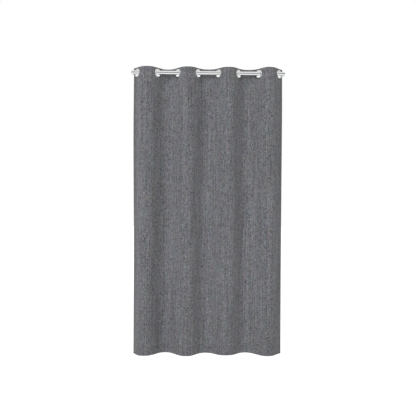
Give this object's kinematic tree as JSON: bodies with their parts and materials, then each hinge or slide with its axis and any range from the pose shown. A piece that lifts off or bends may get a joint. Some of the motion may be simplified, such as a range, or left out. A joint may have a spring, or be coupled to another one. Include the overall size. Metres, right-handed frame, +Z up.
{
  "type": "eyelet curtain panel",
  "caption": "Heathered grey woven curtain panel hanging in regular waves from a short chrome rod through shiny metal eyelets.",
  "frame": {"origin": "on the rod's axis, in the middle of the left end cap's round wall, where a bracket holds it", "axes": "+X along the rod to the right, -Y is the room side, +Z up"},
  "size_m": [1.3392, 0.1248, 2.5],
  "materials": {
    "cloth": "heathered slub weave, matte",
    "stiffener": "white interfacing",
    "thread": "dark grey sewing thread",
    "label": "blank white satin tape",
    "eyelet": "bright nickel plate",
    "rod": "polished chrome plate",
    "rod_cap": "polished chrome plate"
  },
  "bodies": {
    "rod": {"curtain_rod": "rod", "rod_end_cap_left": "rod_cap", "rod_end_cap_right": "rod_cap"},
    "panel": {"curtain_cloth": "cloth", "header_stiffener": "stiffener", "heading_stitching": "thread", "left_side_stitching": "thread", "right_side_stitching": "thread", "bottom_hem_stitching": "thread", "care_label": "label", "eyelet_1_front": "eyelet", "eyelet_1_back": "eyelet"},
    "eyelet_2": {"eyelet_2_front": "eyelet", "eyelet_2_back": "eyelet"},
    "eyelet_3": {"eyelet_3_front": "eyelet", "eyelet_3_back": "eyelet"},
    "eyelet_4": {"eyelet_4_front": "eyelet", "eyelet_4_back": "eyelet"},
    "eyelet_5": {"eyelet_5_front": "eyelet", "eyelet_5_back": "eyelet"},
    "eyelet_6": {"eyelet_6_front": "eyelet", "eyelet_6_back": "eyelet"},
    "eyelet_7": {"eyelet_7_front": "eyelet", "eyelet_7_back": "eyelet"},
    "eyelet_8": {"eyelet_8_front": "eyelet", "eyelet_8_back": "eyelet"}
  },
  "joints": [
    {"name": "swing", "type": "hinge", "parent": "rod", "child": "panel", "pos_m": [0, 0, 0], "axis": [1, 0, 0], "range_deg": [-20, 20]},
    {"name": "draw", "type": "slide", "parent": "panel", "child": "eyelet_8", "axis": [-1, 0, 0], "range_m": [0, 0.76818], "deforming": ["curtain_cloth", "header_stiffener", "heading_stitching", "left_side_stitching", "right_side_stitching", "bottom_hem_stitching", "care_label"]},
    {"name": "draw_2", "type": "slide", "parent": "panel", "child": "eyelet_2", "axis": [-1, 0, 0], "range_m": [0, 0.10984]},
    {"name": "draw_3", "type": "slide", "parent": "panel", "child": "eyelet_3", "axis": [-1, 0, 0], "range_m": [0, 0.21958]},
    {"name": "draw_4", "type": "slide", "parent": "panel", "child": "eyelet_4", "axis": [-1, 0, 0], "range_m": [0, 0.32932]},
    {"name": "draw_5", "type": "slide", "parent": "panel", "child": "eyelet_5", "axis": [-1, 0, 0], "range_m": [0, 0.43906]},
    {"name": "draw_6", "type": "slide", "parent": "panel", "child": "eyelet_6", "axis": [-1, 0, 0], "range_m": [0, 0.5488]},
    {"name": "draw_7", "type": "slide", "parent": "panel", "child": "eyelet_7", "axis": [-1, 0, 0], "range_m": [0, 0.65854]}
  ],
  "couplings": [
    {"joint": "draw_2", "follows": "draw", "ratio": 0.14286},
    {"joint": "draw_3", "follows": "draw", "ratio": 0.28571},
    {"joint": "draw_4", "follows": "draw", "ratio": 0.42857},
    {"joint": "draw_5", "follows": "draw", "ratio": 0.57143},
    {"joint": "draw_6", "follows": "draw", "ratio": 0.71429},
    {"joint": "draw_7", "follows": "draw", "ratio": 0.85714}
  ]
}
